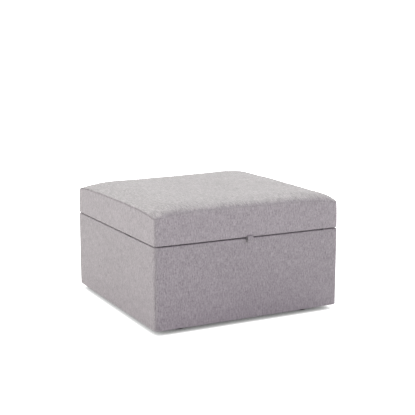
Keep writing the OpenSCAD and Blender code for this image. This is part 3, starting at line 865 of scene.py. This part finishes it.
def capsule(start, end, r, sides=6):
    """Verts and faces of a thin rod with pointed ends."""
    start, end = np.array(start), np.array(end)
    axis = (end - start) / np.linalg.norm(end - start)
    one = np.cross(axis, (0, 0, 1) if abs(axis[2]) < 0.9 else (1, 0, 0))
    one /= np.linalg.norm(one)
    two = np.cross(axis, one)
    verts = [start]
    for share in (0.12, 0.5, 0.88):
        size = r * (1.0 if share == 0.5 else 0.75)
        for i in range(sides):
            a = 2 * math.pi * i / sides
            round_axis = math.cos(a) * one + math.sin(a) * two
            verts.append(start + (end - start) * share + size * round_axis)
    verts.append(end)
    faces = [(0, 1 + (i + 1) % sides, 1 + i) for i in range(sides)]
    for ring in range(2):
        for i in range(sides):
            a, b = 1 + ring * sides + i, 1 + ring * sides + (i + 1) % sides
            faces.append((a, b, b + sides, a + sides))
    last = len(verts) - 1
    faces += [(last, last - sides + i, last - sides + (i + 1) % sides) for i in range(sides)]
    return verts, faces


def tab_stitches():
    """Two rows of edge stitching on the part of the tab that shows."""
    path, outward = tab_frame()
    length = np.concatenate([[0], np.cumsum(np.linalg.norm(np.diff(path, axis=0), axis=1))])
    pitch, stitch, r = 3.2 * MM, 2.3 * MM, 0.28 * MM
    verts, faces = [], []
    start, stop = 24 * MM, length[-1] - 26 * MM
    for side in (-1, 1):
        x = TAB_X + side * (TAB_W / 2 - 2.6 * MM)
        at = start
        while at + stitch < stop:
            ends = []
            for where in (at, at + stitch):
                c = np.array([np.interp(where, length, path[:, i]) for i in (0, 1)])
                o = np.array([np.interp(where, length, outward[:, i]) for i in (0, 1)])
                f, z = c + o * (TAB_T / 2 + 0.02 * MM)
                ends.append((x, -LID_Y - f, GAP_Z + z))
            more, rows = capsule(ends[0], ends[1], r)
            faces += [tuple(i + len(verts) for i in row) for row in rows]
            verts += more
            at += pitch
    ob = make("pull_tab_stitching", verts, faces, thread)
    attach(ob, "lid")


pull_tab()
tab_stitches()


# ---- Linings ----

HEM = 12 * MM


def flat_cloth(name, node, body, seed):
    """A cloth stretched flat over an opening, facing down, with a turned edge. Returns it
    with its flat size."""
    low, high = edges(node)
    half_x, half_y = high[0], high[1]
    grid = RingGrid(half_x, half_y, 1.5 * MM, 11 * MM, 1.3)
    slack = Waves(seed, 0.05, 0.22)
    p, faces = grid.build([], lambda d: np.full_like(d, low[2]), lambda d: np.full_like(d, 3 * MM))
    share = np.clip(1 - np.maximum(np.abs(p[:, 0]) / half_x, np.abs(p[:, 1]) / half_y), 0, 1)
    step = np.clip((share * half_x - HEM) / (1.5 * MM), 0, 1)
    p[:, 2] += step * (0.45 * MM + 0.25 * MM * slack(p) * np.minimum(share * 8, 1))
    ob = make(name, p, faces[:, ::-1], black_cloth, 0.4 * MM)
    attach(ob, body)
    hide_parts(node)
    return ob, (2 * half_x, 2 * half_y)


dust, dust_size = flat_cloth("dust_cover_cloth", "dust_cover", "base", 31)
under, under_size = flat_cloth("lid_underlining_cloth", "lid_underlining", "lid", 37)


LINING_T, LINING_FULL = 1.0 * MM, 0.55 * MM


def box_lining():
    """Floor and walls in one cloth, slightly loose, with a rounded fold between them."""
    low, high = edges("storage_lining")
    half_x, half_y, floor, top = high[0] - LINING_T, high[1] - LINING_T, low[2] + LINING_T, high[2]
    fold, corner = 9 * MM, 12 * MM
    profile = [(0.25 * MM, top)]
    profile += [(0, z) for _, z in line((0, top - 1 * MM), (0, floor + fold), 9 * MM)]
    profile += arc(fold, floor + fold, fold, 180, 270, 5)[:-1]
    grid = RingGrid(half_x - fold, half_y - fold, 6 * MM, 11 * MM, 1.2)
    rings = [(inset - fold, z, corner) for inset, z in profile]
    p, faces = grid.build(rings, lambda d: np.full_like(d, floor),
                          lambda d: np.full_like(d, 3 * MM))
    slack = Waves(41, 0.06, 0.28)
    height = p[:, 2] - floor - fold
    wall = np.clip(height / (40 * MM), 0, 1) * np.clip((top - p[:, 2]) / (30 * MM), 0, 1)
    push = LINING_FULL * wall * (1 + slack(p))
    p[:, 0] += push * np.sign(p[:, 0]) * (np.abs(p[:, 0]) > half_x - 0.5 * MM)
    p[:, 1] += push * np.sign(p[:, 1]) * (np.abs(p[:, 1]) > half_y - 0.5 * MM)
    level = np.clip((floor + 1 * MM - p[:, 2]) / (1 * MM), 0, 1)
    reach = 1 - np.maximum(np.abs(p[:, 0]) / half_x, np.abs(p[:, 1]) / half_y) ** 6
    p[:, 2] += level * reach * 0.6 * MM * (1 + slack(p + 3.0))
    ob = make("storage_lining_cloth", p, faces, lining_cloth, 0.8 * MM)
    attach(ob, "base")
    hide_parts("storage_lining")


box_lining()


# ---- Floor and light ----

FLOOR_HALF = 60.0
FLOOR_BOUNCE = (0.85, 0.85, 0.85)
FLOOR_SEEN = (2.2, 2.2, 2.2)      # out in the open, and
FLOOR_PAINTED_SHADOW = (0.02, 0.02, 0.02)   # painted shadow where it is wholly covered
# How far out and how steeply the painted shadow under the object reaches.
PAINTED_SHADOW_REACH = 150 * MM
PAINTED_SHADOW_POWER = 0.82
SKY, SKY_SEEN = 0.36, 1.3
# Lights: (turn, tilt, spread in degrees, strength, colour)
LIGHTS = {
    "back_light": (180, 60, 50, 0.58, (0.94, 1.01, 0.91)),
    "back_right_light": (135, 45, 50, 2.06, (0.94, 1.01, 0.91)),
    "left_light": (-115, 20, 40, 1.87, (1.08, 1, 1.03)),
    "front_light": (10, 5, 30, 0.69, (1.18, 1, 1.24)),
    "front_right_light": (45, 20, 50, 0.48, (1.18, 1, 1.24)),
}


def floor():
    """A pale floor that glows white for the camera as in a studio shot, with a painted shadow
    where the object covers it, darkened by ambient occlusion. It throws back less light onto the
    object than the camera sees.
    From below it is clear."""
    look = Look("studio_floor")
    cloud = look.noise(look.coords.outputs["Object"], (1.5, 1.5, 1.5), 2.0)
    shade = look.ramp(cloud, [(0.0, tint(FLOOR_BOUNCE, 0.97)), (1.0, FLOOR_BOUNCE)])
    look.finish(shade, 0.9, Specular_IOR_Level=0.0)
    # Painted shadow: ambient occlusion darkens the floor's glow that the camera sees, near and
    # under the object.
    near = look.add("ShaderNodeAmbientOcclusion", samples=16)
    near.inputs["Distance"].default_value = PAINTED_SHADOW_REACH
    open_share = look.math("POWER", near.outputs["AO"], PAINTED_SHADOW_POWER)
    seen_glow_with_painted_shadow = look.ramp(open_share, [(0.0, FLOOR_PAINTED_SHADOW), (1.0, FLOOR_SEEN)])
    bright = look.add("ShaderNodeEmission", [seen_glow_with_painted_shadow])
    seen = look.add("ShaderNodeLightPath").outputs["Is Camera Ray"]
    mix = look.add("ShaderNodeMixShader", [seen, look.shader.outputs[0], bright.outputs[0]])
    under = look.add("ShaderNodeNewGeometry").outputs["Backfacing"]
    clear = look.add("ShaderNodeBsdfTransparent")
    one_sided = look.add("ShaderNodeMixShader", [under, mix.outputs[0], clear.outputs[0]])
    look.put(look.tree.nodes["Material Output"].inputs["Surface"], one_sided.outputs[0])
    verts = [(x * FLOOR_HALF, y * FLOOR_HALF, 0) for x, y in ((-1, -1), (1, -1), (1, 1), (-1, 1))]
    ob = make("studio_floor", verts, [(0, 1, 2, 3)], look.material)


def sun(name, turn, tilt, spread_deg, strength, colour):
    """A broad, even light. turn is where it comes from, in degrees from the front towards
    the right, and tilt how high it stands."""
    data = bpy.data.lights.new(name, "SUN")
    data.angle = math.radians(spread_deg)
    data.energy = strength
    data.color = colour
    turn, tilt = math.radians(turn), math.radians(tilt)
    level = math.cos(tilt)
    source = Vector((math.sin(turn) * level, -math.cos(turn) * level, math.sin(tilt)))
    ob = bpy.data.objects.new(name, data)
    ob.rotation_euler = source.to_track_quat("Z", "Y").to_euler()
    scene.collection.objects.link(ob)


def world():
    """A soft white sky, which the camera sees brighter than it shines."""
    sky = bpy.data.worlds.new("studio")
    sky.use_nodes = True
    tree = sky.node_tree
    path = tree.nodes.new("ShaderNodeLightPath")
    mix = tree.nodes.new("ShaderNodeMixShader")
    tree.links.new(path.outputs["Is Camera Ray"], mix.inputs[0])
    back = tree.nodes["Background"]
    white = tree.nodes.new("ShaderNodeBackground")
    for place, (node, strength) in enumerate(((back, SKY), (white, SKY_SEEN)), 1):
        node.inputs["Color"].default_value = (1, 1, 1, 1)
        node.inputs["Strength"].default_value = strength
        tree.links.new(node.outputs[0], mix.inputs[place])
    tree.links.new(mix.outputs[0], tree.nodes["World Output"].inputs["Surface"])
    scene.world = sky


floor()
for light, setting in LIGHTS.items():
    sun(light, *setting)
world()
scene.view_settings.view_transform = "Standard"
